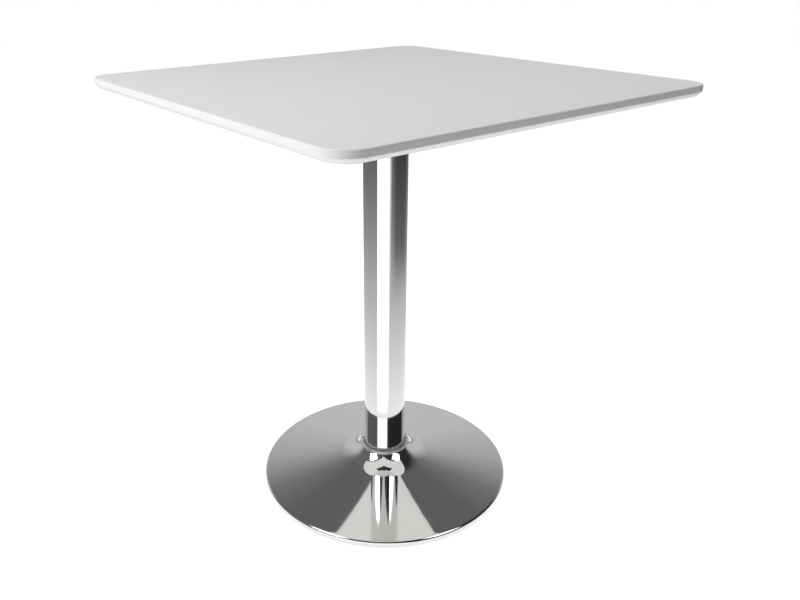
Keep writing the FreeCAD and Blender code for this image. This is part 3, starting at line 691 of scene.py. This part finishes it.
# The camera: its turn, tilt and roll in degrees, how far back it stands from the point it looks at, its
# focal length and shifts as shares of the sensor's width, and that width in millimetres.
CAMERA_TURN, CAMERA_TILT, CAMERA_ROLL = 52.0, 23.28, -0.38
CAMERA_FAR = 1.39059
LOOK_SIDE, LOOK_UP = -35.35 * MM, 387.7 * MM
FOCAL_SHARE, SHIFT_RIGHT, SHIFT_DOWN = 0.9768, 0.0433625, -0.015025
SENSOR = 36.0
# Each lamp's distance in metres from the point it faces, and that point's height on the table's axis.
LAMP_FAR, LAMP_AIM = 2.2, 0.4


def studio_camera():
    """Camera a little above the top, looking down past its front corner."""
    turn, tilt, roll = (math.radians(a) for a in (CAMERA_TURN, CAMERA_TILT, CAMERA_ROLL))
    back = Vector((math.sin(turn) * math.cos(tilt), -math.cos(turn) * math.cos(tilt), math.sin(tilt)))
    target = Vector((LOOK_SIDE * math.cos(turn), LOOK_SIDE * math.sin(turn), LOOK_UP))
    right = (-back).cross(Vector((0, 0, 1))).normalized()
    up = back.cross(right)
    right, up = right * math.cos(roll) + up * math.sin(roll), up * math.cos(roll) - right * math.sin(roll)
    data = bpy.data.cameras.new("studio_camera")
    data.sensor_width = SENSOR
    data.lens = SENSOR * FOCAL_SHARE
    data.shift_x, data.shift_y = SHIFT_RIGHT, SHIFT_DOWN
    data.clip_start, data.clip_end = 0.02, 100.0
    camera = bpy.data.objects.new("studio_camera", data)
    rotation = Matrix((right, up, back)).transposed()
    camera.matrix_world = Matrix.Translation(target + back * CAMERA_FAR) @ rotation.to_4x4()
    bpy.context.scene.collection.objects.link(camera)
    bpy.context.scene.camera = camera


def softbox(name, azimuth, elevation, width, height, power, mirrored=True, spreads=True):
    """A soft area light that faces the middle of the table.

    Reflections show it only where mirrored is set. Matt surfaces get its light only where spreads is.
    """
    a, e = math.radians(azimuth), math.radians(elevation)
    back = Vector((math.sin(a) * math.cos(e), -math.cos(a) * math.cos(e), math.sin(e)))
    data = bpy.data.lights.new(name, "AREA")
    data.shape = "RECTANGLE"
    data.size, data.size_y = width, height
    data.energy = power
    lamp = bpy.data.objects.new(name, data)
    lamp.visible_glossy = mirrored
    lamp.visible_diffuse = spreads
    lamp.location = Vector((0, 0, LAMP_AIM)) + back * LAMP_FAR
    lamp.rotation_mode = "QUATERNION"
    lamp.rotation_quaternion = back.to_track_quat("Z", "Y")
    bpy.context.scene.collection.objects.link(lamp)


def heading(tree, toward):
    """Turn a direction so that X runs towards the camera; gives its parts and its heading in radians.

    The heading is 0 towards the camera and grows towards the camera's right.
    """
    turn = math.radians(90 - CAMERA_TURN)
    turned_to = add_node(tree, "ShaderNodeVectorRotate", {"rotation_type": "Z_AXIS", "=Angle": turn},
                         {"Vector": toward})
    parts = add_node(tree, "ShaderNodeSeparateXYZ", None, {"0": turned_to.outputs[0]})
    angle = add_node(tree, "ShaderNodeMath", {"operation": "ARCTAN2"},
                     {"0": parts.outputs["Y"], "1": parts.outputs["X"]})
    return parts, angle.outputs[0]


def panel_mask(tree, angle, soft_end):
    """1 inside the headings of the tall white panel beside the camera, 0 outside.

    It rises smoothly from -45 to -40 degrees, and falls as (1 - s)^4, s running from 0 at 11 degrees
    to 1 at soft_end.
    """
    rise = add_node(tree, "ShaderNodeMapRange",
                    {"interpolation_type": "SMOOTHSTEP", "=From Min": math.radians(-45),
                     "=From Max": math.radians(-40)}, {"Value": angle})
    left = add_node(tree, "ShaderNodeMapRange",
                    {"=From Min": math.radians(11), "=From Max": math.radians(soft_end),
                     "=To Min": 1, "=To Max": 0}, {"Value": angle})
    fall = add_node(tree, "ShaderNodeMath", {"operation": "POWER", "=1": 4.0}, {"0": left.outputs[0]})
    mask = add_node(tree, "ShaderNodeMath", {"operation": "MULTIPLY"},
                    {"0": rise.outputs[0], "1": fall.outputs[0]})
    return mask.outputs[0]


def studio_room():
    """Studio seen in reflections: lit wall behind the table, dark camera side with one white panel.

    The wall's grey follows the height of the direction, from level (0) to straight up (1). The panel
    stands between two such heights. The camera itself sees plain white behind the table.
    """
    wall_stops = [(0.0, 0.60), (0.07, 0.62), (0.13, 0.66), (0.34, 0.66), (0.50, 0.50), (0.64, 0.22),
                  (0.73, 0.15), (1.0, 0.14)]
    panel_power, panel_end = 2.1, 22
    world = bpy.data.worlds.new("studio_room")
    bpy.context.scene.world = world
    world.use_nodes = True
    tree = world.node_tree
    tree.nodes.clear()
    toward = add_node(tree, "ShaderNodeTexCoord").outputs["Generated"]
    parts, angle = heading(tree, toward)
    wall = add_node(tree, "ShaderNodeValToRGB", None, {"0": parts.outputs["Z"]})
    ramp = wall.color_ramp
    while len(ramp.elements) < len(wall_stops):
        ramp.elements.new(0.5)
    for element, (at, grey) in zip(ramp.elements, wall_stops):
        element.position = at
        element.color = (grey, grey, grey, 1)
    camera_side = add_node(tree, "ShaderNodeMapRange",
                           {"interpolation_type": "SMOOTHSTEP", "=From Min": math.radians(-70),
                            "=From Max": math.radians(40), "=To Min": 0.17, "=To Max": 0.03},
                           {"Value": angle})
    rear = add_node(tree, "ShaderNodeMapRange",
                    {"interpolation_type": "SMOOTHSTEP", "=From Min": -0.30, "=From Max": -0.62},
                    {"Value": parts.outputs["X"]})
    room = add_node(tree, "ShaderNodeMix", {"data_type": "FLOAT"},
                    {"0": rear.outputs[0], "2": camera_side.outputs[0], "3": wall.outputs[0]})
    panel_foot = add_node(tree, "ShaderNodeMapRange",
                          {"interpolation_type": "SMOOTHSTEP", "=From Min": 0.235, "=From Max": 0.26},
                          {"Value": parts.outputs["Z"]})
    panel_head = add_node(tree, "ShaderNodeMapRange",
                          {"interpolation_type": "SMOOTHSTEP", "=From Min": 0.315, "=From Max": 0.345,
                           "=To Min": 1, "=To Max": 0}, {"Value": parts.outputs["Z"]})
    tall = add_node(tree, "ShaderNodeMath", {"operation": "MULTIPLY"},
                    {"0": panel_foot.outputs[0], "1": panel_head.outputs[0]})
    panel = add_node(tree, "ShaderNodeMath", {"operation": "MULTIPLY"},
                     {"0": panel_mask(tree, angle, panel_end), "1": tall.outputs[0]})
    lit = add_node(tree, "ShaderNodeMix", {"data_type": "FLOAT", "=3": panel_power},
                   {"0": panel.outputs[0], "2": room.outputs[0]})
    glow = add_node(tree, "ShaderNodeBackground", {"=Color": (1, 1, 1, 1)}, {"Strength": lit.outputs[0]})
    white = add_node(tree, "ShaderNodeBackground", {"=Color": (1, 1, 1, 1), "=Strength": 1.0})
    path = add_node(tree, "ShaderNodeLightPath")
    mix = add_node(tree, "ShaderNodeMixShader", None,
                   {"0": path.outputs["Is Camera Ray"], "1": glow.outputs[0], "2": white.outputs[0]})
    out = add_node(tree, "ShaderNodeOutputWorld")
    tree.links.new(mix.outputs[0], out.inputs["Surface"])


def studio_floor():
    """Pale seamless floor, exposed to white for the camera.

    In reflections, and on the matt pieces, it glows though it is no lamp: a painted pool of light
    0.10 + 1.42 exp(-d / 0.87 m) at distance d from the table, standing in for a lit sheet of paper. A
    painted shade dims it in a sector on the camera's right, and a painted bright lane runs towards the
    camera. The matt pieces get 1.95 times that glow, without the lane.
    """
    # Strengths of the floor's painted glow: the pool, the painted darker sector and the painted bright
    # lane.
    base, bright, reach = 0.10, 1.42, 0.87
    dimming, lane_power, lane_end, matt_share = -0.6, 2.6, 58, 1.95
    angle = np.linspace(0, TURN, 96, endpoint=False)
    rings = np.array([0.5, 1.0, 2.0, 4.0, 9.0])
    points = np.stack([rings[:, None] * np.cos(angle), rings[:, None] * np.sin(angle),
                       np.zeros((len(rings), len(angle)))], axis=-1).reshape(-1, 3)
    faces = grid_faces(len(rings), len(angle), False, True)[:, ::-1].tolist()
    faces.append(list(range(len(angle))))
    floor = make_object("studio_floor", points, faces)
    # The floor's material: white for the camera, a painted glow of light for every other ray.
    material, tree = new_material("white_floor_painted_glow")
    place = add_node(tree, "ShaderNodeTexCoord").outputs["Object"]
    far = add_node(tree, "ShaderNodeVectorMath", {"operation": "LENGTH"}, {"0": place}).outputs["Value"]
    toward = heading(tree, place)[1]
    path = add_node(tree, "ShaderNodeLightPath")
    matt_ray = path.outputs["Is Diffuse Ray"]

    # Painted pool of light: the floor's glow falls off with distance from the table.
    shrunk = add_node(tree, "ShaderNodeMath", {"operation": "MULTIPLY", "=1": -1 / reach}, {"0": far})
    power = add_node(tree, "ShaderNodeMath", {"operation": "EXPONENT"}, {"0": shrunk.outputs[0]})
    pool = add_node(tree, "ShaderNodeMath", {"operation": "MULTIPLY_ADD", "=1": bright, "=2": base},
                    {"0": power.outputs[0]})

    # Painted shade: the glow is dimmed in a sector on the camera's right, beyond 0.8 m.
    sector_near = add_node(tree, "ShaderNodeMapRange",
                           {"interpolation_type": "SMOOTHSTEP", "=From Min": math.radians(25),
                            "=From Max": math.radians(60)}, {"Value": toward})
    sector_rear = add_node(tree, "ShaderNodeMapRange",
                           {"interpolation_type": "SMOOTHSTEP", "=From Min": math.radians(150),
                            "=From Max": math.radians(110)}, {"Value": toward})
    sector = add_node(tree, "ShaderNodeMath", {"operation": "MULTIPLY"},
                      {"0": sector_near.outputs[0], "1": sector_rear.outputs[0]})
    outer = add_node(tree, "ShaderNodeMapRange",
                     {"interpolation_type": "SMOOTHSTEP", "=From Min": 0.8, "=From Max": 1.4,
                      "=To Max": dimming}, {"Value": far})
    dimmed = add_node(tree, "ShaderNodeMath", {"operation": "MULTIPLY_ADD", "=2": 1.0},
                      {"0": sector.outputs[0], "1": outer.outputs[0]})
    spread = add_node(tree, "ShaderNodeMath",
                      {"operation": "MULTIPLY_ADD", "=1": matt_share - 1, "=2": 1.0}, {"0": matt_ray})
    dim_pool = add_node(tree, "ShaderNodeMath", {"operation": "MULTIPLY"},
                        {"0": pool.outputs[0], "1": dimmed.outputs[0]})
    full_pool = add_node(tree, "ShaderNodeMath", {"operation": "MULTIPLY"},
                         {"0": dim_pool.outputs[0], "1": spread.outputs[0]})

    # Painted bright lane in the glow, running towards the camera, seen only in reflections.
    lane_start = add_node(tree, "ShaderNodeMapRange",
                          {"interpolation_type": "SMOOTHSTEP", "=From Min": 0.2, "=From Max": 0.35,
                           "=To Max": lane_power}, {"Value": far})
    lane = add_node(tree, "ShaderNodeMath", {"operation": "MULTIPLY"},
                    {"0": panel_mask(tree, toward, lane_end), "1": lane_start.outputs[0]})
    not_matt = add_node(tree, "ShaderNodeMath", {"operation": "SUBTRACT", "=0": 1.0}, {"1": matt_ray})
    mirror_lane = add_node(tree, "ShaderNodeMath", {"operation": "MULTIPLY"},
                           {"0": lane.outputs[0], "1": not_matt.outputs[0]})

    strength = add_node(tree, "ShaderNodeMath", {"operation": "MAXIMUM"},
                        {"0": full_pool.outputs[0], "1": mirror_lane.outputs[0]})
    # The glow that stands in for light on the floor, for every ray but the camera's.
    mirrored = add_node(tree, "ShaderNodeEmission", {"=Color": (1, 1, 1, 1)},
                        {"Strength": strength.outputs[0]})
    diffuse = add_node(tree, "ShaderNodeBsdfDiffuse", {"=Color": linear("#F0F0F0")})
    lift = add_node(tree, "ShaderNodeEmission", {"=Color": (1, 1, 1, 1), "=Strength": 0.85})
    seen = add_node(tree, "ShaderNodeAddShader", None, {"0": diffuse.outputs[0], "1": lift.outputs[0]})
    both = add_node(tree, "ShaderNodeMixShader", None,
                    {"0": path.outputs["Is Camera Ray"], "1": mirrored.outputs[0], "2": seen.outputs[0]})
    finish_material(tree, both)
    floor.data.materials.append(material)


studio_camera()
studio_room()
studio_floor()
softbox("soft_left", -10, 46, 0.9, 0.8, 17)
softbox("soft_right", 114, 46, 0.9, 0.8, 12, spreads=False)
softbox("soft_low", 0, 20, 1.4, 0.9, 12, mirrored=False)
softbox("soft_back", 165, 72, 1.6, 1.2, 14, mirrored=False)
bpy.context.scene.view_settings.view_transform = "Standard"
